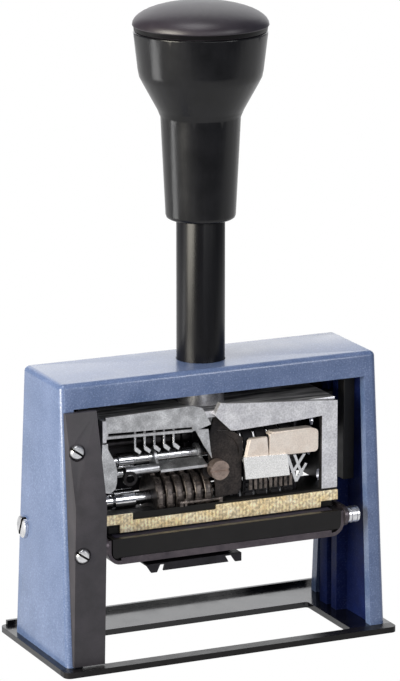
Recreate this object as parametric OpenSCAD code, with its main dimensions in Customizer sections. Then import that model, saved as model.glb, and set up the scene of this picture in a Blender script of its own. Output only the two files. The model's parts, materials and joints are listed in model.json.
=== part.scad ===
// Date and numbering stamp: a blue bridge on a black base plate, a tall knob on a
// sliding rod, and a carriage with number wheels, date bands and a swinging ink pad.
// X runs right, Y runs to the rear, Z runs up. The origin is the centre of the base
// plate, on the surface that the stamp stands on.

/* [Base plate] */
// How far the base plate stands out past the housing's feet at each side
plate_side = 2.1; // [1.9:0.1:4]
// How far the base plate stands out in front of the housing's feet
plate_front = 4.15; // [4.05:0.05:4.5]
// How far the base plate stands out behind the housing's feet
plate_rear = 7.05; // [6.8:0.05:7.2]
// Thickness of the base plate
plate_t = 1.8; // [1.2:0.1:2.4]
// Gap between the carriage and each side of the window that the stamp prints through
window_gap = 2.3; // [2.1:0.1:3]
// Depth of the window
window_d = 29.4; // [26:0.1:30]
// Distance of the middle of the window in front of the middle of the plate
window_forward = 6.9; // [6:0.1:8]
// Height of the turned-up rear lip above the plate
lip_h = 1.4; // [0.8:0.1:1.6]
// Thickness of the rear lip
lip_t = 1.2; // [0.8:0.1:1.4]

/* [Housing] */
// How far each side of the housing leans in from its feet to its top
side_lean = 0.9; // [0.7:0.1:1.1]
// How far the front and the rear of the housing lean in from its feet to its top
rear_lean = 6; // [5.8:0.1:6.2]
// Width of the housing at its feet
foot_w = 104.2; // [104:0.1:105]
// Depth of the housing at its feet
foot_d = 40.3; // [40:0.1:41]
// Height of the top of the housing above the table
housing_top = 85.4; // [85:0.1:86]
// Thickness of the housing's top wall
top_wall = 3; // [2.6:0.1:3.4]
// Thickness of the front and rear flanges of the legs
flange_t = 3.2; // [3:0.1:3.6]
// Height of the front beam over the opening
beam_h = 7.4; // [7:0.1:7.6]
// Width of each leg's front and rear flange
flange_w = 5; // [4.8:0.1:5.2]
// Thickness of each leg's outer wall at the top
leg_wall = 3; // [2.8:0.1:3.2]
// Rounding of the housing's outer edges
edge_r = 1.8; // [1.2:0.1:2]

/* [Guide tube and spring] */
// Radius of the guide tube
tube_r = 7.2; // [7:0.05:7.4]
// Height of the top end of the guide tube above the table
tube_top = 130; // [129.6:0.1:130.6]
// Radius of the plunger rod
rod_r = 4; // [3.8:0.05:4.2]
// Diameter of the spring wire
spring_wire = 1.2; // [1:0.05:1.25]
// Number of turns of the return spring
spring_turns = 9; // [7:1:9]

/* [Knob] */
// Height of the lower end of the knob's sleeve above the table
sleeve_bottom = 127.8; // [127.4:0.1:128]
// Radius of the sleeve at its lower end
sleeve_r = 10.4; // [10:0.1:10.8]
// Radius of the sleeve at the neck
neck_r = 11.8; // [11.4:0.1:12]
// Radius of the widest part of the knob
knob_r = 20; // [19.6:0.1:20.6]
// Height of the top of the knob above the table
knob_top = 191.9; // [190.6:0.1:192]

/* [Carriage] */
// Distance from a leg's flange to the carriage's cheek
carriage_gap = 9; // [8.8:0.1:9.2]
// Travel of the carriage from rest to the paper
travel = 39; // [38.6:0.1:39.1]
// Height of the printing faces above the table at rest
type_z = 39.2; // [39.15:0.05:39.5]
// Distance of the carriage's front face in front of the middle of the plate
carriage_front = 16.2; // [16:0.1:16.4]
// Thickness of the carriage's cheeks
cheek_t = 1.8; // [1.4:0.1:2]
// Height of the carriage's top face above the table at rest
carriage_top = 72.4; // [72:0.1:73]
// Thickness of the brass strip
brass_t = 0.7; // [0.5:0.1:0.8]

/* [Number wheels] */
// Number of number wheels
wheel_count = 6; // [6]
// Radius of a number wheel over its figures
wheel_r = 7.5; // [7.3:0.1:7.6]
// Distance from one number wheel to the next
wheel_pitch = 3.1; // [3:0.05:3.2]
// Height of the raised figures
figure_h = 0.7; // [0.5:0.1:0.9]
// Radius of the number wheels' shaft
wheel_shaft_r = 2; // [1.8:0.1:2.2]

/* [Date bands] */
// Number of date bands
band_count = 4; // [4]
// Width of a date band
band_w = 3.3; // [3.2:0.05:3.3]
// Distance from one date band to the next
band_pitch = 4.4; // [4.4:0.05:4.5]
// Thickness of a date band without its figures
band_t = 0.9; // [0.8:0.05:1]

/* [Ink pad carrier] */
// How far the tray's end lies inside the carriage's cheek
tray_inset = 0.9; // [0.8:0.1:1.1]
// Distance of the tray's front face in front of the middle of the plate
tray_front = 21; // [20.8:0.1:21.2]
// Depth of the tray
tray_d = 14; // [13.6:0.1:14.1]
// Height of the top of the tray above the table at rest
tray_top = 38.9; // [38.8:0.05:38.9]
// Height of the carrier's underside above the table at rest
carrier_bottom = 31; // [30.8:0.1:31.4]
// Thickness of the carrier's sheet steel
carrier_t = 1.2; // [1:0.1:1.2]
// Angle that the carrier swings through at full travel, in degrees
swing = 126; // [124:0.5:130]
// Distance of the swing pivot behind the middle of the plate
pivot_back = 11.3; // [11.2:0.05:11.5]
// Height of the swing pivot above the table
pivot_z = 36.3; // [36.1:0.05:36.5]
// Radius of the guide rollers
roller_r = 2.45; // [2.3:0.05:2.5]

/* [Side guard] */
// How far the side guard's outer edge lies inside the leg's outer face
guard_inset = 1.7; // [1.5:0.1:2]
// Thickness of the side guard's walls
guard_t = 1.4; // [1.2:0.1:1.6]

/* [Clearances] */
// Clearance of a part that turns or slides on a shaft, on the radius
running = 0.06; // [0.05:0.01:0.08]
// Gap between parts that pass each other
passing = 0.3; // [0.3:0.05:0.35]
// Gap round a fastener in its hole, on the radius
loose = 0.15; // [0.1:0.05:0.2]

/* [Hidden] */
$fn = 48;
cut = 1; // how far a cutting shape runs past the face that it cuts
axis_y = -(plate_rear - plate_front) / 2;
plate_w = foot_w + 2 * plate_side;
plate_d = foot_d + plate_front + plate_rear;
top_w = foot_w - 2 * side_lean;
top_d = foot_d - 2 * rear_lean;
opening_w = foot_w - 2 * flange_w;
carriage_w = opening_w - 2 * carriage_gap;
window_w = carriage_w + 2 * window_gap;
tray_w = carriage_w - 2 * tray_inset;
beam_bottom = housing_top - beam_h;
ceiling = housing_top - top_wall;
slope_h = housing_top - plate_t;
leg_inner = top_w / 2 - leg_wall; // inside face of a leg's outer wall
rib_x = opening_w / 2 - 2.5; // inside face of the guide ribs
rib_front_y = -3.5;
rib_front_d = 3.5;
slot_d = 3; // slot between the two ribs, where the carriage's shoes run
rib_rear_d = 4.6;
foot_screw_r = 1.05;
foot_screw_x = foot_w / 2 - flange_w / 2;
foot_screw_inset = 1.9;
pivot_y = pivot_back;
pivot_r = 2.5;
pivot_boss_r = 4.6;

// Distance of the housing's front or rear face from its middle plane at height z
function half_depth(z) = foot_d / 2 - rear_lean * (z - plate_t) / slope_h;
function half_width(z) = foot_w / 2 - side_lean * (z - plate_t) / slope_h;
function front_face(z) = axis_y - half_depth(z);
function rear_face(z) = axis_y + half_depth(z);

// Guide tube, rod and spring
tube_flange_r = 10.9;
tube_flange_t = 2;
tube_screw_r = 1.1;
tube_screw_ring = 9;
sleeve_bore = tube_r + 0.08;
cap_bottom = knob_top - 8.5;
spigot_len = 1.9;
spring_low = tube_top + 0.1;
spring_high = cap_bottom - spigot_len - 0.1;
spring_r = (rod_r + sleeve_bore) / 2 + 0.1;
spring_sides = 6;
spring_rings = 8;

// Carriage
carriage_y = -carriage_front;
cheek_x = carriage_w / 2;
carriage_rear = 3;
sole_low = type_z + 2; // underside of the sole plate, on top of the type plate
sole_high = sole_low + 3.7;
sole_rear = -1;
face_t = 2;
hub_r = 7;
top_plate_t = 2;

// Number wheels
wheel_y = -7.9;
wheel_z = type_z + wheel_r;
wheel_x0 = 19.5 - cheek_x; // middle of the first number wheel
wheel_w = wheel_pitch - passing;
figures = 10;
figure_w = 2.7;
wheels_left = wheel_x0 - wheel_pitch / 2;
wheels_right = wheel_x0 + (wheel_count - 0.5) * wheel_pitch;

// Date bands
band_x0 = cheek_x - 27.5; // middle of the first date band
band_y = -7.9;
former_r = 3;
setting_r = 4.6;
date_shaft_r = 1.6;
band_low_z = type_z + figure_h + band_t + former_r;
band_high_z = carriage_top - 13.6;
band_lean = asin((setting_r - former_r) / (band_high_z - band_low_z));
star_r = 5.6;
date_cheek_t = 0.8;
star_t = 0.5;
bands_left = band_x0 - band_w / 2 - star_t - 2 * passing;
bands_right = band_x0 + (band_count - 1) * band_pitch + band_w / 2 + passing;

// Ink pad carrier
tray_y = -tray_front;
tray_rear = tray_y + tray_d;
carrier_x = tray_w / 2 + carrier_t;
arm_t = 1.2;
arm_half = 3.1;
roller_y = -18.5;
roller_z = 36.6;
roller_pin_r = 1.2;
roller_x = carrier_x + arm_t + passing;
roller_w = rib_x - roller_x - 0.9;

// Side guard
guard_x = -(carrier_x + arm_t + 1);
guard_left = -(foot_w / 2 - guard_inset);
guard_high = beam_bottom - 0.6;
guard_bend = 51;
guard_low = plate_t + 0.4;
guard_top_out = 1.5; // how far it stands in front of the leg at its top
guard_bend_out = 6.9;
guard_low_out = 1.2;
guard_screw_x = guard_left + 2.3;
guard_screws_z = [66.5, 36.3];

// Helpers
module both_sides() {
    children();
    mirror([1, 0, 0]) children();
}

module along_x(x, y, z, r, length) {
    translate([x, y, z]) rotate([0, 90, 0]) cylinder(r = r, h = length);
}

module along_y(x, y, z, r, length) {
    translate([x, y, z]) rotate([-90, 0, 0]) cylinder(r = r, h = length);
}

module block(x, y, z) {
    translate([x[0], y[0], z[0]]) cube([x[1] - x[0], y[1] - y[0], z[1] - z[0]]);
}

// Outline in X and Z, made solid from y0 to y1
module plate_xz(points, y0, y1) {
    translate([0, y1, 0]) rotate([90, 0, 0]) linear_extrude(y1 - y0) polygon(points);
}

// Outline in Y and Z, made solid from x0 to x1
module plate_yz(points, x0, x1) {
    translate([x0, 0, 0]) rotate([90, 0, 90]) linear_extrude(x1 - x0) polygon(points);
}

module rounded_slab(w, d, h, r) {
    translate([-w / 2 + r, -d / 2, 0]) cube([w - 2 * r, d, h]);
    translate([-w / 2, -d / 2 + r, 0]) cube([w, d - 2 * r, h]);
    for (x = [-1, 1], y = [-1, 1])
        translate([x * (w / 2 - r), y * (d / 2 - r), 0]) cylinder(r = r, h = h);
}

// Slotted cheese-head screw along Z: its head stands on z = 0, its shank goes down
module slotted_screw(head_r, head_h, shank_r, shank_len) {
    slot_w = head_r * 0.3;
    difference() {
        union() {
            cylinder(r = head_r, h = head_h * 0.75);
            translate([0, 0, head_h * 0.75])
                cylinder(r1 = head_r, r2 = head_r * 0.8, h = head_h * 0.25);
            translate([0, 0, -shank_len]) cylinder(r = shank_r, h = shank_len + head_h / 2);
        }
        translate([-head_r - cut, -slot_w / 2, head_h * 0.5])
            cube([2 * head_r + 2 * cut, slot_w, head_h]);
    }
}

// Housing and base
module housing_outside() {
    hull() {
        for (x = [-1, 1], y = [-1, 1]) {
            translate([x * (top_w / 2 - edge_r), axis_y + y * (top_d / 2 - edge_r),
                       housing_top - edge_r])
                sphere(r = edge_r, $fn = 24);
            translate([x * (foot_w / 2 - edge_r), axis_y + y * (foot_d / 2 - edge_r), plate_t])
                cylinder(r = edge_r, h = 0.1, $fn = 24);
        }
    }
}

module housing_inside() {
    low = plate_t - cut;
    plate_yz([[front_face(low) + flange_t, low], [rear_face(low) - flange_t, low],
              [rear_face(ceiling) - flange_t, ceiling],
              [front_face(ceiling) + flange_t, ceiling]], -leg_inner, leg_inner);
}

module leg_ribs() {
    block([rib_x, leg_inner + 0.2], [rib_front_y, rib_front_y + rib_front_d],
          [plate_t, ceiling + 0.2]);
    block([rib_x, leg_inner + 0.2],
          [rib_front_y + rib_front_d + slot_d, rib_front_y + rib_front_d + slot_d + rib_rear_d],
          [plate_t, ceiling + 0.2]);
    along_x(carrier_x + arm_t + passing, pivot_y, pivot_z, pivot_boss_r,
            leg_inner + 0.2 - carrier_x - arm_t - passing);
}

module housing() {
    color("#6678a8") difference() {
        union() {
            difference() {
                housing_outside();
                housing_inside();
                block([-opening_w / 2, opening_w / 2], [-foot_d, foot_d],
                      [plate_t - cut, beam_bottom]);
            }
            both_sides() leg_ribs();
        }
        translate([0, axis_y, ceiling - cut])
            cylinder(r = tube_r + loose, h = top_wall + 2 * cut);
        for (a = [45:90:315])
            rotate_about_tube(a) translate([tube_screw_ring, 0, ceiling - cut])
                cylinder(r = tube_screw_r, h = 2.2 + cut);
        both_sides() along_x(0, pivot_y, pivot_z, pivot_r + loose, foot_w);
        for (p = foot_screw_places())
            translate([p[0], p[1], plate_t - cut]) cylinder(r = foot_screw_r + 0.05, h = 7 + cut);
        for (z = guard_screws_z)
            along_y(guard_screw_x, front_face(z) - cut, z, 1.1, flange_t + cut + 0.5);
    }
}

module rotate_about_tube(a) {
    translate([0, axis_y, 0]) rotate([0, 0, a]) children();
}

function foot_screw_places() = [for (x = [-1, 1], y = [-1, 1])
    [x * foot_screw_x, axis_y + y * (foot_d / 2 - foot_screw_inset)]];

module base_plate() {
    color("#1b1b1d") difference() {
        union() {
            rounded_slab(plate_w, plate_d, plate_t, 2);
            block([-plate_w / 2 + 2, plate_w / 2 - 2], [plate_d / 2 - lip_t, plate_d / 2],
                  [0, plate_t + lip_h]);
        }
        translate([0, -window_forward, -cut])
            rounded_slab(window_w, window_d, plate_t + 2 * cut, 1);
        for (p = foot_screw_places()) translate([p[0], p[1], 0]) {
            translate([0, 0, -cut]) cylinder(r = foot_screw_r + loose, h = plate_t + 2 * cut);
            translate([0, 0, -0.01]) cylinder(r1 = 2.4, r2 = foot_screw_r + loose, h = 1.25);
        }
    }
}

module base_screws() {
    color("#b9babd") for (p = foot_screw_places()) translate([p[0], p[1], 0])
        difference() {
            union() {
                translate([0, 0, 0.05]) cylinder(r1 = 2.2, r2 = foot_screw_r, h = 1.15);
                translate([0, 0, 0.6]) cylinder(r = foot_screw_r, h = 6.6);
            }
            translate([-3, -0.3, -cut]) cube([6, 0.6, cut + 0.5]);
        }
}

// Guide tube, its screws and the return spring
module guide_tube() {
    color("#202022") translate([0, axis_y, 0]) difference() {
        union() {
            translate([0, 0, ceiling - tube_flange_t]) cylinder(r = tube_r, h = tube_top - ceiling
                + tube_flange_t - 0.6);
            translate([0, 0, tube_top - 0.6]) cylinder(r1 = tube_r, r2 = tube_r - 0.6, h = 0.6);
            translate([0, 0, ceiling - tube_flange_t]) cylinder(r = tube_flange_r, h = tube_flange_t);
        }
        translate([0, 0, ceiling - tube_flange_t - cut])
            cylinder(r = rod_r + running, h = tube_top - ceiling + tube_flange_t + 2 * cut);
        for (a = [45:90:315]) rotate([0, 0, a])
            translate([tube_screw_ring, 0, ceiling - tube_flange_t - cut])
                cylinder(r = tube_screw_r + loose, h = tube_flange_t + 2 * cut);
    }
}

module tube_screws() {
    color("#c6c7c9") for (a = [45:90:315]) rotate_about_tube(a)
        translate([tube_screw_ring, 0, ceiling - tube_flange_t]) mirror([0, 0, 1])
            slotted_screw(1.65, 1, tube_screw_r - 0.05, tube_flange_t + 2);
}

function spring_pitch() = (spring_high - spring_low - spring_wire) / spring_turns;
function spring_point(ring, side) =
    let (turn = 360 * ring / spring_rings, around = 360 * side / spring_sides,
         r = spring_r + spring_wire / 2 * cos(around))
    [r * cos(turn), r * sin(turn), spring_low + spring_wire / 2
        + spring_pitch() * ring / spring_rings + spring_wire / 2 * sin(around)];

module return_spring() {
    last = spring_turns * spring_rings;
    points = [for (ring = [0:last], side = [0:spring_sides - 1]) spring_point(ring, side)];
    walls = [for (ring = [0:last - 1], side = [0:spring_sides - 1])
        let (a = ring * spring_sides + side, b = ring * spring_sides + (side + 1) % spring_sides)
        each [[a, b, b + spring_sides], [a, b + spring_sides, a + spring_sides]]];
    ends = [for (side = [1:spring_sides - 2]) each [[0, side + 1, side],
        [last * spring_sides, last * spring_sides + side, last * spring_sides + side + 1]]];
    color("#9a9ca0") translate([0, axis_y, 0])
        polyhedron(points = points, faces = concat(walls, ends));
}

// Least gap of the spring to itself, from the points of one turn and the next
spring_gap = min([for (side = [0:spring_sides - 1], other = [0:spring_sides - 1])
    norm(spring_point(spring_rings, side) - spring_point(0, other))]);
echo(least_gap_between_spring_turns = spring_gap);

// Knob
module knob_grip() {
    color("#19191b") translate([0, axis_y, 0]) rotate_extrude($fn = 96) polygon([
        [sleeve_bore, sleeve_bottom], [sleeve_r - 0.9, sleeve_bottom],
        [sleeve_r - 0.3, sleeve_bottom + 0.4], [sleeve_r - 0.03, sleeve_bottom + 1.2],
        [neck_r, cap_bottom - 25.4], [neck_r + 0.35, cap_bottom - 24.6],
        [neck_r + 0.9, cap_bottom - 23.2], [knob_r - 2.9, cap_bottom - 15.2],
        [knob_r - 2, cap_bottom - 13.4], [knob_r - 1.6, cap_bottom - 11.4],
        [knob_r - 0.3, cap_bottom - 0.5], [knob_r - 0.5, cap_bottom - 0.15],
        [knob_r - 0.9, cap_bottom], [sleeve_bore, cap_bottom]]);
}

module knob_cap() {
    rim = cap_bottom + 1.6;
    dome = knob_top - rim - 0.2;
    color("#222226") translate([0, axis_y, 0]) difference() {
        union() {
            rotate_extrude($fn = 96) polygon([[0, cap_bottom], [knob_r - 0.9, cap_bottom],
                [knob_r - 0.5, cap_bottom + 0.2], [knob_r - 0.35, rim - 0.15],
                [knob_r - 0.1, rim],
                for (a = [0:7.5:82.5]) [knob_r * cos(a), rim + 0.2 + dome * sin(a)],
                [0, knob_top]]);
            translate([0, 0, cap_bottom - spigot_len]) cylinder(r = sleeve_bore - 0.1,
                                                                h = spigot_len + 0.5);
        }
        translate([0, 0, cap_bottom - spigot_len - cut])
            cylinder(r = rod_r + 0.05, h = spigot_len + 4 + cut);
    }
}

module plunger_rod() {
    color("#c9cacd") translate([0, axis_y, 0]) {
        translate([0, 0, carriage_top - 3]) cylinder(r = rod_r, h = cap_bottom + 3.9 - carriage_top + 3);
        translate([0, 0, carriage_top - 7]) cylinder(r = rod_r - 1, h = 5);
    }
}

module rod_nut() {
    color("#b9babd") translate([0, axis_y, carriage_top - 6.4]) difference() {
        cylinder(r = 4.6, h = 2.4, $fn = 6);
        translate([0, 0, -cut]) cylinder(r = rod_r - 1 + 0.05, h = 5);
    }
}

// Side guard on the left leg
function guard_face() = [[front_face(guard_high) - guard_top_out, guard_high],
    [front_face(guard_bend) - guard_bend_out, guard_bend],
    [front_face(guard_low) - guard_low_out, guard_low]];

module side_guard() {
    face = guard_face();
    color("#2c2b2f") difference() {
        plate_yz([face[0], face[1], face[2],
                  [front_face(guard_low), guard_low], [front_face(guard_high), guard_high]],
                 guard_left, guard_x);
        plate_yz([[face[0][0] + guard_t, guard_high + cut], [face[0][0] + guard_t, guard_high - 2],
                  [face[1][0] + guard_t, guard_bend], [face[2][0] + guard_t, guard_low - cut],
                  [0, guard_low - cut], [0, guard_high + cut]], guard_left + guard_t,
                 guard_x + cut);
        for (z = guard_screws_z) {
            along_y(guard_screw_x, guard_front(z) - cut, z, 1.25, 12);
            along_y(guard_screw_x, guard_front(z) - 3, z, 2.6, 3.7);
        }
    }
    color("#2c2b2f") for (z = guard_screws_z) difference() {
        along_y(guard_screw_x, guard_front(z) + guard_t, z, 2.2,
                front_face(z) - guard_front(z) - guard_t - 0.2);
        along_y(guard_screw_x, guard_front(z) - cut, z, 1.25, 12);
    }
}

// Front face of the guard at height z
function guard_front(z) = z > guard_bend
    ? guard_face()[1][0] + (guard_face()[0][0] - guard_face()[1][0])
        * (z - guard_bend) / (guard_high - guard_bend)
    : guard_face()[2][0] + (guard_face()[1][0] - guard_face()[2][0])
        * (z - guard_low) / (guard_bend - guard_low);

module guard_screws() {
    color("#d7d8da") for (z = guard_screws_z)
        translate([guard_screw_x, guard_front(z) + 0.65, z]) rotate([90, 35, 0])
            slotted_screw(2, 1.5, 1.05, front_face(z) - guard_front(z) + flange_t - 1.4);
}

module pivot_screws() {
    head_x = half_width(pivot_z) + 0.05;
    color("#d7d8da") both_sides() translate([head_x, pivot_y, pivot_z])
        rotate([0, 90, 0]) rotate([0, 0, 25])
            slotted_screw(3.3, 1.2, pivot_r, head_x - carrier_x + 0.1);
}

// Rails that the carriage's shoes run on, one on the front rib of each leg
module guide_rails() {
    color("#1f1f21") both_sides() block([rib_x, leg_inner], [rib_front_y - 4, rib_front_y],
                                        [type_z + 5, ceiling]);
}

// Sheet that closes the rear over the carriage, snapped in between the rear flanges and ribs
module rear_cover() {
    low = 54;
    high = ceiling - tube_flange_t - passing;
    inner = flange_t + 0.1;
    t = 1;
    color("#2a3150") plate_yz([[rear_face(low) - inner - t, low], [rear_face(low) - inner, low],
        [rear_face(high) - inner, high], [rear_face(high) - inner - t, high]],
        -leg_inner + 0.1, leg_inner - 0.1);
}

// Carriage frame: a zinc casting with two cheeks, a top plate and an L-shaped front
module carriage_frame() {
    x = cheek_x;
    y = carriage_y;
    top = carriage_top;
    color("#c3c4c9") difference() {
        union() {
            block([x - cheek_t, x], [y, carriage_rear], [sole_high, top - 0.7]);
            block([-x, -x + cheek_t], [y + 6, carriage_rear], [sole_high, top]);
            block([-x, -x + 1.2], [y, y + 7], [top - 5.4, top + 1.1]);
            block([-x, x], [y + face_t, carriage_rear], [top - top_plate_t, top]);
            plate_xz([[-0.3, top + 2.6], [-2.2, top - 1], [3, top - 6.1], [4.5, top - 6.3],
                      [x - 15.1, top - 5.6], [x - 5.1, top - 4.9], [x - 5.1, sole_high],
                      [x, sole_high], [x, top - 0.7], [2.7, top + 2.1]], y, y + face_t);
            translate([0, axis_y, carriage_top - 4])
                cylinder(r = hub_r, h = ceiling - tube_flange_t - passing - carriage_top + 4);
        }
        translate([0, axis_y, carriage_top - 3]) cylinder(r = rod_r + 0.05, h = 20);
        translate([0, axis_y, carriage_top - 6]) cylinder(r = rod_r - 1 + 0.05, h = 6);
        for (p = cheek_bores()) along_x(-x - cut, p[0], p[1], p[2], 2 * x + 2 * cut);
    }
}

// Places and radii of the shafts' holes in the cheeks: Y, Z, radius
function cheek_bores() = [[wheel_y, wheel_z, wheel_shaft_r + 0.05],
    [detent_y, detent_z, cross_rod_r + 0.05], [feed_y, feed_z, cross_rod_r + 0.05],
    [band_y, band_high_z, date_shaft_r + 0.05]];
selector_x = (wheels_right + bands_left) / 2 - 4.15;
selector_z = wheel_z + 8.2;
selector_stem_r = 1.1;
cross_rod_r = 1.35;
detent_y = -2.2;
detent_z = carriage_top - 10;
feed_y = -0.3;
feed_z = wheel_z + 5.9;

module back_plate() {
    color("#151516") difference() {
        block([-cheek_x + cheek_t + 0.05, cheek_x - cheek_t - 0.05], [carriage_rear - 1, carriage_rear],
              [sole_high + 1, carriage_top - top_plate_t - 0.05]);
        translate([0, axis_y, carriage_top - 7.5]) cylinder(r = hub_r + 0.05, h = 7.5);
    }
}

module sole_plate() {
    x = cheek_x;
    gap = passing + 0.4;
    color("#17171a") difference() {
        block([-x, x], [carriage_y, sole_rear], [sole_low, sole_high]);
        block([wheels_left - gap, wheels_right + gap], [wheel_y - wheel_r - passing, sole_rear + cut],
              [sole_low - cut, sole_high + cut]);
        block([-x + cheek_t, bands_left - date_cheek_t], [wheel_y - 3.4, sole_rear + cut],
              [wheel_z - 3.4, sole_high + cut]);
        block([bands_left - date_cheek_t - 0.1, bands_right + date_cheek_t + 0.1],
              [band_y - 5.4, sole_rear + cut], [sole_low - cut, sole_high + cut]);
        along_x(-x - cut, wheel_y, wheel_z, wheel_shaft_r + 0.05, cheek_t + 2 * cut);
    }
}

module type_plate() {
    gap = passing + 0.4;
    color("#101011") difference() {
        block([-cheek_x + 1.6, cheek_x - 1.6], [carriage_y, -7], [type_z, sole_low]);
        block([wheels_left - gap, wheels_right + gap], [wheel_y - wheel_r + 1.4, 0],
              [type_z - cut, sole_low + cut]);
        block([bands_left - gap, bands_right + gap], [band_y - 5, 0], [type_z - cut, sole_low + cut]);
    }
}

module brass_strip() {
    x = cheek_x;
    color("#c9b06a") plate_xz([[-x + 0.4, sole_low + 0.8], [-x + 5, sole_low + 0.8],
        [-x + 5, type_z + 0.2], [x - 5.6, type_z + 0.2], [x - 5.6, sole_low], [x, sole_low],
        [x, sole_high - 0.6],
        [-2, sole_high - 0.6], [-2, sole_high - 2], [-x + 9.2, sole_high - 2],
        [-x + 9.2, sole_high + 0.1], [-x + 0.4, sole_high + 0.1]],
        carriage_y - brass_t, carriage_y);
}

module guide_shoes() {
    shoe_y = rib_front_y + rib_front_d;
    color("#101011") both_sides() block([cheek_x, leg_inner - passing - 0.2],
        [shoe_y + passing, shoe_y + slot_d - passing], [carriage_top - 14.4, carriage_top - 2.4]);
}

// Grey sheet left of the casting: a face with a folded end, a bar below it and a gusset
module bridge_plate() {
    left = -cheek_x + 1.3;
    top = carriage_top;
    y = carriage_y + 0.7;
    fold_x = -9;
    color("#8b8e90") {
        plate_xz([[left, top - 2.9], [left, top + 1.9], [fold_x, top + 2.6], [fold_x, top - 3.9]],
                 y, y + 1.1);
        plate_xz([[left, top - 4.6], [left, top - 3.8], [fold_x, top - 4.6], [fold_x, top - 5.4]],
                 y, y + 0.8);
        block([left, left + 0.8], [y + 0.1, y + 0.8], [top - 4.4, top - 2.6]);
        multmatrix([[1, 0, 0, 0], [0.15, 1, 0, -0.15 * fold_x], [0, 0, 1, 0]])
            plate_xz([[fold_x - 0.2, top - 5.2], [fold_x - 0.2, top + 2.58], [-5.6, top + 1.3],
                      [-2.6, top - 4], [-7.4, top - 5.1]], y, y + 0.5);
        plate_xz([[-8.1, top - 4.9], [-3.8, top - 5.2], [-3.1, top - 11.5], [-2.6, top - 14.2],
                  [-5.3, top - 9.9]], y + 0.3, y + 0.9);
    }
}

// Blackened bracket that carries the selector, with a rim along its right edge
module hub_bracket() {
    y = carriage_y + face_t + 0.05;
    top = carriage_top;
    color("#141416") difference() {
        union() {
            plate_xz([[-1.5, top - top_plate_t - 0.1], [2.5, top - top_plate_t - 0.1],
                      [4.2, top - 7.1], [6.4, top - 8.3], [7.6, top - 9.4], [7.4, sole_high + 3],
                      [6.2, sole_high + 1.2], [wheels_right + 0.5, sole_high + 0.9],
                      [wheels_right + 0.5, selector_z - 1.4], [selector_x - 2, selector_z - 1],
                      [-3, top - 12], [-2.7, top - 6]], y, y + 1);
            plate_xz([[-0.5, top - 6.1], [2.9, top - 6.6], [5.1, top - 7.3], [7.6, top - 9.2],
                      [7.6, top - 14.6], [6.5, top - 14], [6.3, top - 11.9], [4.9, top - 9.4],
                      [2.9, top - 7.9], [-0.1, top - 6.7]], y - 0.5, y + 0.1);
            along_y(selector_x, y, selector_z, 2.2, 1);
            along_y(selector_x - 2.1, y, selector_z - 0.7, 2.1, 0.5);
        }
        along_y(selector_x, y - cut, selector_z, selector_stem_r + running, 1 + 2 * cut);
    }
}

// Number wheels, their shaft and what holds and feeds them
module number_shaft() {
    color("#c9cacd") along_x(-cheek_x, wheel_y, wheel_z, wheel_shaft_r,
        cheek_x + bands_left - date_cheek_t);
}

// Two collars on the number wheels' shaft and a sleeve on the date axle
module shaft_collars() {
    left = -cheek_x + cheek_t;
    color("#dcdde0") {
        for (c = [[left + 1.3, 2.6, 2.7], [left + 4.5, 3.25, 6.6]]) difference() {
            along_x(c[0], wheel_y, wheel_z, c[1], c[2]);
            along_x(c[0] - cut, wheel_y, wheel_z, wheel_shaft_r + 0.05, c[2] + 2 * cut);
        }
        difference() {
            along_x(left + 6, band_y, band_high_z, 2.3, 5);
            along_x(left + 6 - cut, band_y, band_high_z, date_shaft_r + 0.05, 5 + 2 * cut);
        }
    }
}

module number_wheel(i) {
    x = wheel_x0 + i * wheel_pitch - wheel_w / 2;
    body_r = wheel_r - figure_h;
    tooth_r = body_r - 0.5;
    tooth_d = 1.1;
    color("#4a484b") translate([x, wheel_y, wheel_z]) rotate([90, 0, 90]) difference() {
        union() {
            cylinder(r = body_r, h = wheel_w - 0.8);
            for (k = [0:figures - 1]) rotate([0, 0, 360 / figures * k - 90])
                translate([body_r - 0.4, -figure_w / 2, 0.25])
                    cube([wheel_r - body_r + 0.4 - 0.12, figure_w, wheel_w - 0.8 - 0.5]);
            linear_extrude(wheel_w) polygon([for (k = [0:figures - 1])
                each [tooth_r * [cos(360 / figures * k), sin(360 / figures * k)],
                      (tooth_r - tooth_d) * [cos(360 / figures * (k + 0.12)),
                                             sin(360 / figures * (k + 0.12))]]]);
        }
        translate([0, 0, -cut]) cylinder(r = wheel_shaft_r + running, h = wheel_w + 2 * cut);
    }
}

// Two equal rods between the left cheek and the date unit: detents above, pawl below
module cross_rods() {
    length = cheek_x + bands_left - date_cheek_t;
    color("#dcdde0") {
        along_x(-cheek_x, detent_y, detent_z, cross_rod_r, length);
        along_x(-cheek_x, feed_y, feed_z, cross_rod_r, length);
    }
}

// A finger over each number wheel, and the springs' hooks under the carriage's top
module detent_fingers() {
    tip_z = wheel_z + wheel_r + 0.6;
    hook_y = carriage_y + 3.6;
    color("#d0d1d3") {
        for (i = [0:wheel_count - 1]) {
            x = wheel_x0 + i * wheel_pitch;
            difference() {
                union() {
                    along_x(x - 1.1, detent_y, detent_z, 2.4, 2.2);
                    plate_yz([[detent_y - 1.6, detent_z - 1.4], [detent_y + 1, detent_z - 1.8],
                              [wheel_y + 2.8, tip_z], [wheel_y + 2, tip_z]], x - 0.5, x + 0.5);
                }
                along_x(x - 2, detent_y, detent_z, cross_rod_r + 0.05, 4);
            }
        }
        for (i = [0:wheel_count - 2]) {
            x = wheel_x0 + (i - 2.5) * wheel_pitch;
            translate([x, hook_y, carriage_top - 9.4])
                cylinder(r = 0.4, h = 9.35 - top_plate_t, $fn = 16);
            plate_xz([[x - 0.4, carriage_top - 8.8], [x + 0.4, carriage_top - 8.8],
                      [x + 1.9, carriage_top - 10.1], [x + 1.4, carriage_top - 11],
                      [x - 0.2, carriage_top - 9.8]], hook_y - 0.5, hook_y + 0.3);
        }
    }
}

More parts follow.
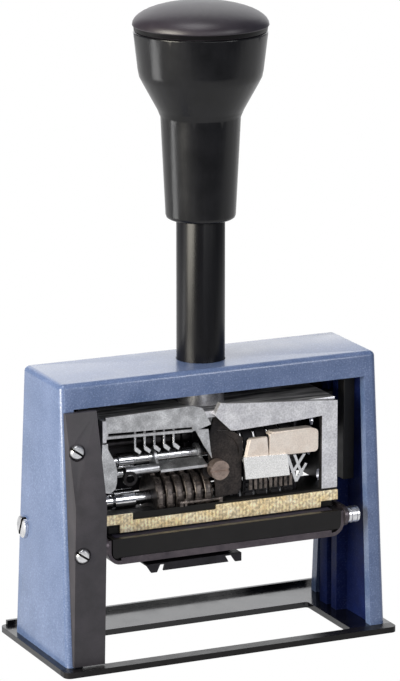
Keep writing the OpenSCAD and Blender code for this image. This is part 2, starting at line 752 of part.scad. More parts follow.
module feed_pawl() {
    color("#8d8f93") difference() {
        union() {
            along_x(wheels_left, feed_y, feed_z, 1.9, wheels_right - wheels_left);
            for (i = [0:wheel_count - 1]) {
                x = wheel_x0 + i * wheel_pitch + wheel_w / 2 - 0.7;
                plate_yz([[feed_y - 1.1, feed_z - 3.8], [feed_y + 0.3, feed_z - 3.8],
                          [feed_y + 1.4, feed_z], [feed_y - 1.2, feed_z]], x, x + 0.6);
            }
        }
        along_x(wheels_left - cut, feed_y, feed_z, cross_rod_r + running,
                wheels_right - wheels_left + 2 * cut);
    }
}

// Thin round bar in front of the number wheels on two feet
module wheel_guard() {
    bar_r = 0.45;
    left = wheels_left + 6.6;
    y = wheel_y - wheel_r - passing - bar_r;
    z = sole_high + 1.1;
    color("#b4b4b8") {
        along_x(left, y, z, bar_r, wheels_right + 1.8 - left);
        for (x = [left, wheels_right + 0.8])
            block([x, x + 1], [y - 0.4, y + 0.4], [sole_high, z + 0.3]);
        block([left + 1.6, left + 2.2], [y - 0.4, y + 0.4], [sole_high, z + 1.1]);
    }
}

// Sheet over the number wheels that hangs on the date axle by two ears, with a stub rod
// and a ring at its left end
module wheel_cover() {
    left = wheel_x0 - 0.4;
    right = wheels_right - 2.5;
    z = wheel_z + wheel_r + 1.5;
    stub_left = -cheek_x + 8.5;
    stub_y = carriage_y + 3.7;
    stub_r = 1.3;
    ear_t = 0.8;
    eye_r = date_shaft_r + 1;
    color("#8d8f93") {
        plate_yz([[carriage_y + 1.2, z], [carriage_y + 5.6, z + 1.5], [carriage_y + 5.6, z + 2.3],
                  [carriage_y + 1.2, z + 0.8]], left, right);
        for (x = [left, right - ear_t]) difference() {
            union() {
                plate_yz([[carriage_y + 4.6, z + 1.2], [band_y, band_high_z - eye_r],
                          [band_y, band_high_z + eye_r], [carriage_y + 4.6, z + 2]], x, x + ear_t);
                along_x(x, band_y, band_high_z, eye_r, ear_t);
            }
            along_x(x - cut, band_y, band_high_z, date_shaft_r + running, ear_t + 2 * cut);
        }
        along_x(stub_left, stub_y, z + 0.9, stub_r, left - stub_left + 0.1);
        translate([stub_left + 1.2, stub_y - stub_r - 0.3, z - 1.1]) rotate([-90, 0, 0]) difference() {
            cylinder(r = 2.2, h = 1);
            translate([0, 0, -cut]) cylinder(r = 1.3, h = 1 + 2 * cut);
        }
    }
}

// Curved grey lever at the left, bent round to lie flat on the inside of the cheek
module side_lever() {
    x = -cheek_x;
    y = carriage_y + 1.6;
    top = carriage_top;
    tab = x + cheek_t;
    color("#77797c") {
        plate_xz([[x + 0.5, top - 6.2], [x + 1.6, top - 6.4], [x + 3.4, top - 9.7],
                  [x + 4.8, top - 12.3], [x + 5.4, top - 15.1], [x + 5.2, top - 18.4],
                  [x + 4.7, top - 20.3], [x + 3, top - 21.5], [x + 1.2, top - 21],
                  [x + 0.8, top - 16.4], [x + 0.2, top - 12.4]], y, y + 1);
        plate_yz([[y + 0.5, top - 19], [y + 0.5, top - 6.4], [detent_y - cross_rod_r - 1, top - 6.4],
                  [detent_y - cross_rod_r - 1, top - 10.6], [y + 4, top - 10.6], [y + 4, top - 19]],
                 tab, tab + 0.8);
    }
}

module selector_knob() {
    y = carriage_y + face_t - passing + 0.05;
    color("#86766f") difference() {
        union() {
            along_y(selector_x, carriage_y - 1.4, selector_z, 2.95, y - carriage_y + 1.4);
            along_y(selector_x, carriage_y, selector_z, selector_stem_r, face_t + 2);
            along_y(selector_x, carriage_y + face_t + 1.35, selector_z, 1.7, 0.6);
        }
        block([selector_x - 4, selector_x + 4], [carriage_y - 3, carriage_y - 0.8],
              [selector_z - 0.4, selector_z + 0.4]);
    }
}

// Date bands, their wheels and covers
function band_x(i) = band_x0 + i * band_pitch;

module date_cheeks() {
    low = sole_low + 0.1;
    high = carriage_top - 6.4;
    rear = feed_y + cross_rod_r + 0.2;
    color("#77797c") for (x = [bands_left - date_cheek_t, bands_right]) difference() {
        plate_yz([[band_y - 4, low], [band_y + 4, low], [rear, feed_z - 3], [rear, high],
                  [band_y - 4, high]], x, x + date_cheek_t);
        along_x(x - cut, band_y, band_high_z, date_shaft_r + 0.05, 3);
        along_x(x - cut, band_y, band_low_z, 1.05, 3);
    }
}

module date_axle() {
    color("#c9cacd") along_x(-cheek_x, band_y, band_high_z, date_shaft_r, 2 * cheek_x);
}

module date_former() {
    color("#8d8f93") {
        along_x(bands_left + 0.1, band_y, band_low_z, former_r - 0.05, bands_right - bands_left - 0.2);
        along_x(bands_left - date_cheek_t, band_y, band_low_z, 1,
                bands_right - bands_left + 2 * date_cheek_t);
    }
}

module date_wheel(i) {
    x = band_x(i) - band_w / 2;
    color("#5b5d61") difference() {
        union() {
            along_x(x - passing - star_t / 2, band_y, band_high_z, setting_r - passing,
                    band_w + passing + star_t / 2 - 0.1);
            translate([x - passing - star_t, band_y, band_high_z]) rotate([90, 0, 90])
                linear_extrude(star_t)
                polygon([for (k = [0:23]) (k % 2 == 0 ? star_r : star_r - 0.9) * [cos(15 * k), sin(15 * k)]]);
        }
        along_x(x - 3, band_y, band_high_z, date_shaft_r + running, band_w + 6);
    }
}

// Closed band round the setting wheel and the former, with raised figures
module band_outline(out) {
    translate([band_y, band_high_z]) circle(r = setting_r + out);
    translate([band_y, band_low_z]) circle(r = former_r + out);
    lean = band_lean;
    polygon([for (p = [[1, 0], [1, 1], [-1, 1], [-1, 0]])
        let (r = (p[1] == 1 ? setting_r : former_r) + out)
        [band_y + p[0] * r * cos(lean), (p[1] == 1 ? band_high_z : band_low_z) - r * sin(lean)]]);
}

module date_band(i) {
    x = band_x(i) - band_w / 2;
    steps = 9;
    color("#2b2b2e") translate([x, 0, 0]) rotate([90, 0, 90]) {
        linear_extrude(band_w) difference() {
            band_outline(band_t);
            band_outline(0);
        }
        translate([0, 0, 0.4]) linear_extrude(band_w - 0.8) {
            translate([band_y, band_low_z]) rotate(band_lean)
                for (k = [0:steps - 1])
                    translate([-former_r - band_t - figure_h, 1.2 + 1.55 * k])
                        square([figure_h + 0.3, 1]);
            translate([band_y - 1.2, type_z]) square([2.4, figure_h + 0.3]);
        }
    }
}

// Outline of a cover's face with its right-hand corners rounded
function round_corners(left, right, low, high, r) = [[left, high], [left - 0.2, low],
    for (a = [0:22.5:90]) [right - r + r * sin(a), low + r - r * cos(a)],
    for (a = [0:22.5:90]) [right - r + r * cos(a), high - r + r * sin(a)]];

cover_low = band_high_z - 2.3;
cover_high = band_high_z + 5.1;

module date_cover_large() {
    left = bands_left + 8.45;
    right = cheek_x - 5.9;
    front = carriage_y + 0.9;
    color("#c9b3a6") {
        plate_xz(round_corners(left, right, cover_low, cover_high - 0.4, 1.2), front, front + 1.1);
        plate_xz([[left, cover_high - 0.9], [left + 1, cover_high], [right - 2.6, cover_high],
                  [right - 1.2, cover_high - 0.35], [right - 0.5, cover_high - 0.9]],
                 front + 0.3, band_y - 4.05);
        block([right - 1, right], [front + 0.4, band_y - 4 - passing], [cover_low + 1.3, cover_high - 1.7]);
    }
}

module date_cover_small() {
    x = bands_left;
    front = carriage_y + 0.9;
    color("#c9b3a6") {
        plate_xz([[x + 2.1, cover_high - 1.4], [x + 0.55, cover_low + 0.3],
                  [x + 8.05, cover_low + 0.1], [x + 7.5, cover_high - 1.2]], front, front + 1.1);
        block([x + 2.3, x + 7.35], [front + 0.3, front + 2.1], [cover_high - 2.1, cover_high - 1.45]);
        plate_xz([[x + 1.5, cover_high - 1.5], [x + 0.25, cover_low + 0.3],
                  [x + 1.35, cover_low + 0.3], [x + 2.6, cover_high - 1.5]], front + 0.3, front + 1.1);
    }
}

// Bright sheet in front of the date bands: fingers at its lower edge bear on the bands
module date_shroud() {
    x = bands_left;
    front = carriage_y + 0.3;
    high = cover_low + 0.9;
    low = high - 6.8;
    finger_pitch = band_pitch * 3 / 8;
    color("#e4e5e6") {
        plate_xz([[x - 0.55, high], [x + 0.25, low], [x + 14.75, low - 0.3], [x + 13.85, high - 0.5]],
                 front, front + 0.6);
        block([x - 0.25, x + 13.4], [front + 0.3, front + 1.6], [cover_low - 0.7, cover_low - 0.05]);
        for (i = [0:8])
            translate([x + 1.45 + finger_pitch * i, 0, 0])
                block([0, finger_pitch * 0.55], [front + 0.1, front + 0.6], [low - 3.4, low + 0.2]);
    }
}

// Crossed leaf springs at the right of the date bands, riveted to the shroud's edge
module date_springs() {
    x = bands_right;
    front = carriage_y + 0.95;
    high = cover_low - 0.1;
    color("#d0d1d3") {
        plate_xz([[x - 4.15, high - 0.2], [x - 3.15, high - 0.2], [x - 0.15, high - 8.6],
                  [x - 1.15, high - 8.6]], front, front + 0.4);
        plate_xz([[x + 1.45, high - 0.2], [x + 2.35, high - 0.4], [x - 1.15, high - 5.4],
                  [x - 1.95, high - 4.8]], front, front + 0.4);
        plate_xz([[x + 2.25, high - 3], [x + 2.95, high - 3.4], [x - 0.35, high - 8.6],
                  [x - 0.95, high - 7.8]], front, front + 0.4);
        plate_xz([[x - 1.75, high - 0.2], [x - 0.85, high - 0.2], [x + 1.65, high - 6.6],
                  [x + 0.85, high - 7]], front, front + 0.4);
    }
}

// Ink pad carrier: a bent steel channel with two arms, a tray, a pad and a clip
module channel_section(half, low, r) {
    polygon([[-half, tray_top], [-half, low + r],
             for (a = [180:15:270]) [-half + r + r * cos(a), low + r + r * sin(a)],
             for (a = [270:15:360]) [half - r + r * cos(a), low + r + r * sin(a)],
             [half, tray_top]]);
}

module pad_frame() {
    front = tray_y + 0.4;
    inside = tray_w / 2 + 0.12;
    color("#3a3537") {
        difference() {
            translate([0, tray_rear - 1, 0]) rotate([90, 0, 0])
                linear_extrude(tray_rear - 1 - front) difference() {
                    channel_section(carrier_x, carrier_bottom, 4);
                    channel_section(inside, carrier_bottom + carrier_t, 4 - carrier_t);
                    translate([-carrier_x - cut, tray_top - 0.3]) square([2 * carrier_x + 2 * cut, 5]);
                }
        }
        block([-inside + 3, inside - 3], [front, front + 1],
              [carrier_bottom + carrier_t - 0.1, carrier_bottom + 2.1]);
    }
    color("#8f9195") both_sides() difference() {
        union() {
            plate_yz([[roller_y, roller_z - arm_half], [pivot_y, pivot_z - arm_half],
                      [pivot_y, pivot_z + arm_half], [roller_y, roller_z + arm_half]],
                     carrier_x, carrier_x + arm_t);
            along_x(carrier_x, pivot_y, pivot_z, arm_half + 0.6, arm_t);
            along_x(carrier_x, roller_y, roller_z, arm_half, arm_t);
        }
        along_x(carrier_x - cut, pivot_y, pivot_z, pivot_r + running, arm_t + 2 * cut);
        along_x(carrier_x - cut, roller_y, roller_z, roller_pin_r + 0.05, arm_t + 2 * cut);
    }
}

module pad_tray() {
    low = carrier_bottom + carrier_t;
    wall = 1.6;
    color("#333136") difference() {
        union() {
            translate([0, tray_rear, 0]) rotate([90, 0, 0]) linear_extrude(tray_d - 1.45)
                channel_section(tray_w / 2, low + 0.02, 2.8);
            translate([0, tray_y + 2, 0]) rotate([90, 0, 0]) linear_extrude(2) intersection() {
                channel_section(tray_w / 2, low + 0.02, 2.8);
                translate([-tray_w / 2, low + 1.1]) square([tray_w, tray_top - low - 1.1]);
            }
        }
        block([-tray_w / 2 + wall, tray_w / 2 - wall], [tray_y + wall + 0.4, tray_rear - wall],
              [tray_top - 4.4, tray_top + cut]);
    }
}

module ink_pad() {
    wall = 1.6;
    color("#1c1830") block([-tray_w / 2 + wall + 0.1, tray_w / 2 - wall - 0.1],
        [tray_y + wall + 0.5, tray_rear - wall - 0.1], [tray_top - 4.35, tray_top]);
}

module pad_clip() {
    y = tray_y + 1;
    high = carrier_bottom - 1.5;
    left = -26;
    right = 4.8;
    color("#111113") {
        block([left, right], [y, y + 8], [high - 0.3, high + 0.2]);
        block([left, right], [y + 7.2, y + 8], [high - 0.3, carrier_bottom]);
        plate_xz([[left, high], [left + 4.6, high], [left + 3.4, high - 2.5], [left + 1.6, high - 2.5]],
                 y, y + 0.8);
        plate_xz([[left + 6, high], [right - 5.4, high], [right - 4.2, high - 2.2],
                  [left + 5.4, high - 2.2]], y, y + 0.8);
        plate_xz([[right - 3.6, high], [right, high], [right, high - 2.4], [right - 2, high - 2.4]],
                 y, y + 0.8);
    }
}

module roller_pins() {
    color("#c9cacd") both_sides() {
        along_x(carrier_x, roller_y, roller_z, roller_pin_r, arm_t + passing + roller_w + 0.2);
        along_x(roller_x + roller_w + 0.1, roller_y, roller_z, 1.7, 0.3);
    }
}

module roller(side) {
    mirror([side < 0 ? 1 : 0, 0, 0]) color("#c8cabf") difference() {
        along_x(roller_x, roller_y, roller_z, roller_r, roller_w);
        along_x(roller_x - cut, roller_y, roller_z, roller_pin_r + running, roller_w + 2 * cut);
    }
}

housing();
base_plate();
base_screws();
guide_tube();
tube_screws();
return_spring();
side_guard();
guard_screws();
pivot_screws();
guide_rails();
rear_cover();
knob_grip();
knob_cap();
plunger_rod();
rod_nut();
carriage_frame();
back_plate();
sole_plate();
type_plate();
brass_strip();
guide_shoes();
bridge_plate();
hub_bracket();
number_shaft();
shaft_collars();
cross_rods();
detent_fingers();
feed_pawl();
wheel_guard();
wheel_cover();
side_lever();
number_wheel(0);  // number_wheel_1
number_wheel(1);  // number_wheel_2
number_wheel(2);  // number_wheel_3
number_wheel(3);  // number_wheel_4
number_wheel(4);  // number_wheel_5
number_wheel(5);  // number_wheel_6
selector_knob();
date_cheeks();
date_axle();
date_former();
date_wheel(0);  // date_wheel_1
date_wheel(1);  // date_wheel_2
date_wheel(2);  // date_wheel_3
date_wheel(3);  // date_wheel_4
date_band(0);  // date_band_1
date_band(1);  // date_band_2
date_band(2);  // date_band_3
date_band(3);  // date_band_4
date_cover_large();
date_cover_small();
date_shroud();
date_springs();
pad_frame();
pad_tray();
ink_pad();
pad_clip();
roller_pins();
roller(-1);  // roller_left
roller(1);  // roller_right
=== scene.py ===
import json
import math
import bpy
import bmesh
from mathutils import Matrix, Vector

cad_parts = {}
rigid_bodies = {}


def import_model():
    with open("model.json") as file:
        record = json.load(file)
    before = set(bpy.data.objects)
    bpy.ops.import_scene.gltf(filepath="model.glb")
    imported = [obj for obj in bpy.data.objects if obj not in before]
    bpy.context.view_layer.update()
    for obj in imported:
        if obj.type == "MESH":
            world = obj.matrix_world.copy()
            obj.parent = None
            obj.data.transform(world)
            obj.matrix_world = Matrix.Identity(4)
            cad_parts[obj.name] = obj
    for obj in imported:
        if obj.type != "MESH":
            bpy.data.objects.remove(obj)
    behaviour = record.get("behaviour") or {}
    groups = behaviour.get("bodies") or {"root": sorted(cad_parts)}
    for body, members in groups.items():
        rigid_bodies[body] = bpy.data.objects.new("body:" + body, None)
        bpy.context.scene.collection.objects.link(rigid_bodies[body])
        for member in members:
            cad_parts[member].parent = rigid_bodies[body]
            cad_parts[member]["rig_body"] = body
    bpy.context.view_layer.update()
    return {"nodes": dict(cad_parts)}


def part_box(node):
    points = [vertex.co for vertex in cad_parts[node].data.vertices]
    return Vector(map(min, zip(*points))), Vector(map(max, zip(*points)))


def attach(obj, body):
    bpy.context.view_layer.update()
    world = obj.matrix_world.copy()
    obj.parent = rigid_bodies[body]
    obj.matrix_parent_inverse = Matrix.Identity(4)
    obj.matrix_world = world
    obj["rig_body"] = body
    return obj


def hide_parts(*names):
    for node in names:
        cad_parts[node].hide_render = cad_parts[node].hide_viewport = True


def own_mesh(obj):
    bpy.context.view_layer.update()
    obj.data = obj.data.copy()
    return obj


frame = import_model()
nodes = frame["nodes"]
mm = 0.001
print("stage 1: frame loaded")


# Camera: the photograph's own view
cameraSettings = {
    "place": (-0.48339, -1.04964, 0.37211),
    "target": (0.000456, 0.0, 0.090226),
    "lens": 212.21,
    "sensor": 36.0,
    "near": 0.05,
    "far": 20.0,
}


def aimAt(item, place, target):
    item.location = place
    item.rotation_euler = (Vector(target) - Vector(place)).to_track_quat("-Z", "Y").to_euler()


def makeCamera(settings):
    data = bpy.data.cameras.new("stampCamera")
    data.lens = settings["lens"]
    data.sensor_width = settings["sensor"]
    data.clip_start = settings["near"]
    data.clip_end = settings["far"]
    camera = bpy.data.objects.new("stampCamera", data)
    aimAt(camera, settings["place"], settings["target"])
    bpy.context.scene.collection.objects.link(camera)
    bpy.context.scene.camera = camera


makeCamera(cameraSettings)
bpy.context.scene.view_settings.view_transform = "Standard"


# Light: a dim studio with softboxes at the left, behind and above, and two weak lamps in front.
# The camera sees a white floor under a white dome. What shines in the stamp is a sweep that ends
# just in front of it, so that black pieces stay black, and a bright band behind it at the left.
lightSettings = {
    "worldStrength": 0.2,
    "worldHex": "#e9eefc",
    "lampHex": "#ffffff",
    "lamps": [
        {"name": "leftSoftbox", "place": (-1.05, -0.25, 0.32), "target": (0, 0, 0.08),
         "size": 0.7, "power": 22.0, "hex": "#fff9ea"},
        {"name": "rearSoftbox", "place": (0.65, 1.35, 0.62), "target": (0, 0, 0.1),
         "size": 2.0, "power": 13.8},
        {"name": "topSoftbox", "place": (-0.15, -0.1, 1.3), "target": (0, 0, 0.1),
         "size": 0.6, "power": 5.0},
        {"name": "rightStrip", "place": (0.55, -1.05, 0.52), "target": (0, 0, 0.06),
         "size": 0.4, "power": 3.2},
        {"name": "frontFill", "place": (-0.1, -1.3, 0.45), "target": (0, 0, 0.08),
         "size": 0.7, "power": 2.5},
    ],
    "sheets": [
        {"name": "paperFloor", "x": (-4.0, 4.0), "y": (-4.0, 4.0), "glow": 1.0, "camera": True},
        {"name": "whiteSweep", "x": (-0.85, 0.85), "y": (-0.34, 0.9), "glow": 0.8, "camera": False},
        {"name": "leftBand", "x": (-0.96, -0.3), "y": (0.19, 0.34), "glow": 7.0, "camera": False,
         "turn": -23},
    ],
    "dome": {"name": "paperDome", "like": "paperFloor", "radius": 5.5, "around": 48, "up": 24},
}


# An sRGB hex colour as linear values
def linear(hexText):
    values = [int(hexText[i:i + 2], 16) / 255 for i in (1, 3, 5)]
    return [v / 12.92 if v <= 0.04045 else ((v + 0.055) / 1.055) ** 2.4 for v in values] + [1.0]


# A shader node with its settings, the values of its inputs and what is linked to them
def addNode(tree, kind, settings=None, inputs=None, links=None):
    node = tree.nodes.new(kind)
    for key, value in (settings or {}).items():
        setattr(node, key, value)
    for key, value in (inputs or {}).items():
        node.inputs[key].default_value = value
    for key, source in (links or {}).items():
        tree.links.new(source, node.inputs[key])
    return node


def makeLights(settings):
    world = bpy.data.worlds.new("whiteCove")
    bpy.context.scene.world = world
    world.use_nodes = True
    background = world.node_tree.nodes["Background"]
    background.inputs["Color"].default_value = linear(settings["worldHex"])
    background.inputs["Strength"].default_value = settings["worldStrength"]
    for lamp in settings["lamps"]:
        data = bpy.data.lights.new(lamp["name"], "AREA")
        data.shape = "DISK"
        data.size = lamp["size"]
        data.energy = lamp["power"]
        data.color = linear(lamp.get("hex", settings["lampHex"]))[:3]
        light = bpy.data.objects.new(lamp["name"], data)
        aimAt(light, lamp["place"], lamp["target"])
        bpy.context.scene.collection.objects.link(light)


makeLights(lightSettings)


# A flat glowing sheet on the ground: either the camera alone sees it, or shiny finishes alone
def makeSheet(settings):
    bm = bmesh.new()
    (left, right), (front, rear) = settings["x"], settings["y"]
    place = Matrix.Translation(((left + right) / 2, (front + rear) / 2, 0))
    scale = Matrix.Diagonal(((right - left) / 2, (rear - front) / 2, 1, 1))
    turn = Matrix.Rotation(math.radians(settings.get("turn", 0)), 4, "Z")
    bmesh.ops.create_grid(bm, x_segments=1, y_segments=1, size=1.0, matrix=place @ turn @ scale)
    mesh = bpy.data.meshes.new(settings["name"])
    bm.to_mesh(mesh)
    bm.free()
    sheet = bpy.data.objects.new(settings["name"], mesh)
    bpy.context.scene.collection.objects.link(sheet)
    material = bpy.data.materials.new(settings["name"])
    material.use_nodes = True
    shader = material.node_tree.nodes["Principled BSDF"]
    shader.inputs["Base Color"].default_value = linear("#000000")
    shader.inputs["Specular IOR Level"].default_value = 0.0
    shader.inputs["Emission Color"].default_value = linear("#ffffff")
    shader.inputs["Emission Strength"].default_value = settings["glow"]
    mesh.materials.append(material)
    sheet.visible_camera = settings["camera"]
    sheet.visible_glossy = not settings["camera"]
    sheet.visible_diffuse = False
    sheet.visible_shadow = False


# White paper all round: a copy of the floor, with its glow and for the camera alone
def makeDome(settings):
    floor = bpy.data.objects[settings["like"]]
    dome = floor.copy()
    dome.data = floor.data.copy()
    dome.name = dome.data.name = settings["name"]
    bm = bmesh.new()
    bmesh.ops.create_uvsphere(bm, u_segments=settings["around"], v_segments=settings["up"],
                              radius=settings["radius"])
    bm.to_mesh(dome.data)
    bm.free()
    bpy.context.scene.collection.objects.link(dome)


for sheetSettings in lightSettings["sheets"]:
    makeSheet(sheetSettings)
makeDome(lightSettings["dome"])
print("stage 2: camera, light and floor")


# Finishes, with the sizes of their patterns in mm. Each has its hexes (main and second colour),
# metallic, rough (low and high), cloud (size of the slow change of colour), grain (size of the
# fine texture) and bump. Some have gloss, coat, speck (pale flecks that stand for the enamel's
# sparkle: painted glints), mottle (how strongly the grain shades the colour), stretch and ticks.
# Real metal grain is finer than 0.3 mm, so it is drawn as coarse as it needs to show.
finishes = {
    # Blue-grey enamel baked on a rough primer: a fine orange peel, with pale flecks in its colour
    # as painted glints
    "texturedEnamel": {"hexes": ("#51658d", "#62749b"), "metallic": 0.0, "rough": (0.36, 0.5),
                       "cloud": 9.0, "grain": 0.45, "bump": 0.03, "coat": 0.6, "speck": 0.16,
                       "mottle": 0.14},
    # Painted shade: the same enamel made deep navy and duller on the inner faces of the legs, where
    # shade falls
    "insideShadeEnamel": {"hexes": ("#0b1540", "#132154"), "metallic": 0.0, "rough": (0.45, 0.6),
                   "cloud": 9.0, "grain": 0.45, "bump": 0.03, "gloss": 0.12, "speck": 0.05},
    # Black stoving enamel on the plate: a glossy skin that mirrors the room
    "blackStovingEnamel": {"hexes": ("#0b0b0d", "#15151a"), "metallic": 0.0, "rough": (0.12, 0.24),
                           "cloud": 7.0, "grain": 0.9, "bump": 0.004},
    # The tube's enamel is rubbed by the knob that slides over it: black and half dull
    "rubbedEnamel": {"hexes": ("#09090c", "#101014"), "metallic": 0.0, "rough": (0.26, 0.34),
                     "cloud": 5.0, "grain": 0.9, "bump": 0.003, "gloss": 0.26,
                     "stretch": (1.0, 1.0, 0.15)},
    # The plate's front rail: the same enamel handled until it is dull
    "handledEnamel": {"hexes": ("#0b0a0b", "#161415"), "metallic": 0.0, "rough": (0.3, 0.42),
                      "cloud": 5.0, "grain": 0.6, "bump": 0.006, "gloss": 0.24},
    # Painted shade: steel drawn dark where it lies in shade, so that only its edges catch light
    "shadedSteel": {"hexes": ("#1d1b1c", "#353235"), "metallic": 0.7, "rough": (0.3, 0.45),
                        "cloud": 2.5, "grain": 0.4, "bump": 0.006},
    # Phenolic knob turned and polished: deep black with a soft wiped sheen
    "polishedPhenolic": {"hexes": ("#0c0c0e", "#131316"), "metallic": 0.0, "rough": (0.19, 0.24),
                         "cloud": 7.0, "grain": 0.9, "bump": 0.001, "gloss": 0.35},
    # ABS guard, spark-eroded mould: dark grey satin that goes pale at a glance
    "satinAbs": {"hexes": ("#2b292e", "#38353b"), "metallic": 0.0, "rough": (0.4, 0.55),
                 "cloud": 6.0, "grain": 0.3, "bump": 0.015},
    # Painted shade on the knob's seam under the cap: the same phenolic, darker, and duller where
    # buffing does not reach
    "seamShadePhenolic": {"hexes": ("#080709", "#0c0b0d"), "metallic": 0.0, "rough": (0.3, 0.4),
                     "cloud": 6.0, "grain": 0.5, "bump": 0.003, "gloss": 0.12},
    # The knob's cap, buffed but not polished: a soft gradient without sharp lamps in it. Its
    # colour, paler and more purple than the grip's black, is a painted sheen
    "paintedSheenPhenolic": {"hexes": ("#272229", "#302b33"), "metallic": 0.0, "rough": (0.38, 0.44),
                       "cloud": 9.0, "grain": 0.5, "bump": 0.003},
    # Ink tray moulded in phenolic: black with a warm cast
    "mouldedPhenolic": {"hexes": ("#0b090a", "#121011"), "metallic": 0.0, "rough": (0.35, 0.5),
                        "cloud": 6.0, "grain": 0.4, "bump": 0.01, "gloss": 0.3},
    # The sole that faces the ink: black bakelised sheet, quite dull
    "soleSheet": {"hexes": ("#0a0909", "#151312"), "metallic": 0.0, "rough": (0.5, 0.65),
                  "cloud": 4.0, "grain": 0.4, "bump": 0.01, "gloss": 0.3},
    # Acetal rails and shoes: plain matt black
    "blackAcetal": {"hexes": ("#111113", "#1a1a1c"), "metallic": 0.0, "rough": (0.45, 0.6),
                    "cloud": 5.0, "grain": 0.4, "bump": 0.01},
    # Blackened sheet steel: oily dark brown-black
    "blackenedSheet": {"hexes": ("#17161a", "#26242a"), "metallic": 0.6, "rough": (0.35, 0.5),
                       "cloud": 4.0, "grain": 0.5, "bump": 0.01},
    # Sheet steel with its heat scale left on: black in patches, brownish grey between them
    "scaledSheet": {"hexes": ("#131114", "#3e3836"), "metallic": 0.6, "rough": (0.34, 0.5),
                    "cloud": 8.0, "grain": 0.5, "bump": 0.01, "mottle": 0.3},
    # Zinc die casting, tumbled and nickel plated: silky pale grey with faint flow marks
    "platedZinc": {"hexes": ("#d2d2d8", "#e8e8ec"), "metallic": 0.85, "rough": (0.28, 0.42),
                   "cloud": 5.0, "grain": 0.5, "bump": 0.012, "mottle": 0.16},
    # Painted reflection and shade on the casting's top under the housing: matt, with pale and dark
    # streaks along it
    "glareAndShadeZinc": {"hexes": ("#39393c", "#c4c4c6"), "metallic": 0.2, "rough": (0.5, 0.65),
                "cloud": 2.5, "grain": 1.4, "bump": 0.02, "gloss": 0.25, "mottle": 0.5,
                "stretch": (0.1, 1.0, 1.0)},
    # Painted shade on the casting's undersides and inner faces: dark
    "shadedZinc": {"hexes": ("#1f1e20", "#3b383a"), "metallic": 0.6, "rough": (0.4, 0.6),
                    "cloud": 5.0, "grain": 0.6, "bump": 0.012, "mottle": 0.3},
    # Painted shade in the screws' slots: dead matt black
    "slotShade": {"hexes": ("#0c0b0b", "#171514"), "metallic": 0.0, "rough": (0.7, 0.9),
                 "cloud": 1.0, "grain": 0.3, "bump": 0.01, "gloss": 0.2},
    # Ground steel of the shafts and rods: fine scratches round the shaft
    "groundSteel": {"hexes": ("#cdced2", "#e4e5e7"), "metallic": 1.0, "rough": (0.2, 0.32),
                    "cloud": 3.0, "grain": 0.35, "bump": 0.002, "stretch": (1.0, 0.2, 0.2)},
    # Zinc plated steel of screws, rollers and date wheels: slightly milky, bright
    "platedScrewSteel": {"hexes": ("#d6d7da", "#eeeef0"), "metallic": 1.0, "rough": (0.24, 0.38),
                         "cloud": 1.5, "grain": 0.3, "bump": 0.01},
    # Cold-rolled sheet as it comes: cloudy grey that mirrors nothing sharply
    "coldRolledSheet": {"hexes": ("#a9aaad", "#dadbde"), "metallic": 0.9, "rough": (0.3, 0.46),
                        "cloud": 4.0, "grain": 0.35, "bump": 0.01, "mottle": 0.16},
    # Polished sheet shroud: nearly white, with broad reflections
    "polishedSheet": {"hexes": ("#f0f0f0", "#fdfdfd"), "metallic": 0.8, "rough": (0.2, 0.32),
                      "cloud": 4.0, "grain": 0.5, "bump": 0.006},
    # Chrome plate on the collars: sharp black and white reflections
    "chromePlate": {"hexes": ("#dcdde0", "#ececee"), "metallic": 1.0, "rough": (0.06, 0.14),
                    "cloud": 3.0, "grain": 0.5, "bump": 0.003},
    # Hardened steel stained by ink, on the type wheels: mottled brown-grey
    "inkedSteel": {"hexes": ("#3d3938", "#7b726d"), "metallic": 0.75, "rough": (0.3, 0.45),
                   "cloud": 1.6, "grain": 0.3, "bump": 0.015, "mottle": 0.2},
    # Turned steel of the selector, tarnished: brown with a soft shine
    "tarnishedSteel": {"hexes": ("#85766f", "#a39289"), "metallic": 0.8, "rough": (0.3, 0.42),
                       "cloud": 1.5, "grain": 0.3, "bump": 0.01},
    # Rolled brass strip: pale satin yellow, ticked all along
    "rolledBrass": {"hexes": ("#f0d6a4", "#fff1d2"), "metallic": 0.55, "rough": (0.3, 0.45),
                    "cloud": 4.0, "grain": 0.9, "bump": 0.01, "mottle": 0.2,
                    "ticks": {"pitch": 1.1, "width": 0.36, "depth": 0.76, "edge": (0.3, 0.7)}},
    # Moulded rubber of the date bands: dull and nearly black
    "typeRubber": {"hexes": ("#1e1d20", "#2b2a2e"), "metallic": 0.0, "rough": (0.5, 0.65),
                   "cloud": 2.0, "grain": 0.25, "bump": 0.012},
    # Moulded styrene covers: warm beige with a slight shine
    "beigeStyrene": {"hexes": ("#e2d5cb", "#efe6de"), "metallic": 0.0, "rough": (0.34, 0.46),
                     "cloud": 5.0, "grain": 0.4, "bump": 0.008, "coat": 0.1},
    # Burnished sheet of the pad carrier: dark violet-brown with soft glare
    "burnishedSheet": {"hexes": ("#454046", "#625b60"), "metallic": 0.85, "rough": (0.3, 0.44),
                       "cloud": 6.0, "grain": 0.35, "bump": 0.01},
    # Wool felt soaked with ink: blue-black and quite matt
    "inkedFelt": {"hexes": ("#15121f", "#221c33"), "metallic": 0.0, "rough": (0.8, 0.95),
                  "cloud": 3.0, "grain": 0.35, "bump": 0.06},
}


# How every finish reads its noise: its detail, and the parts of its range that are used
noiseSettings = {
    "cloud": {"Detail": 4.0, "Roughness": 0.6},
    "grain": {"Detail": 3.0, "Roughness": 0.55},
    "colourPart": (0.35, 0.65),
    "roughPart": (0.3, 0.7),
    # The part of the grain's range and the hex of the pale flecks, which are painted glints
    "speckPart": (0.56, 0.72),
    "speckHex": "#c9d2ea",
    "mottle": 0.08,
    "bumpStrength": 0.6,
    "gloss": 0.5,
    "coatRough": 0.15,
}


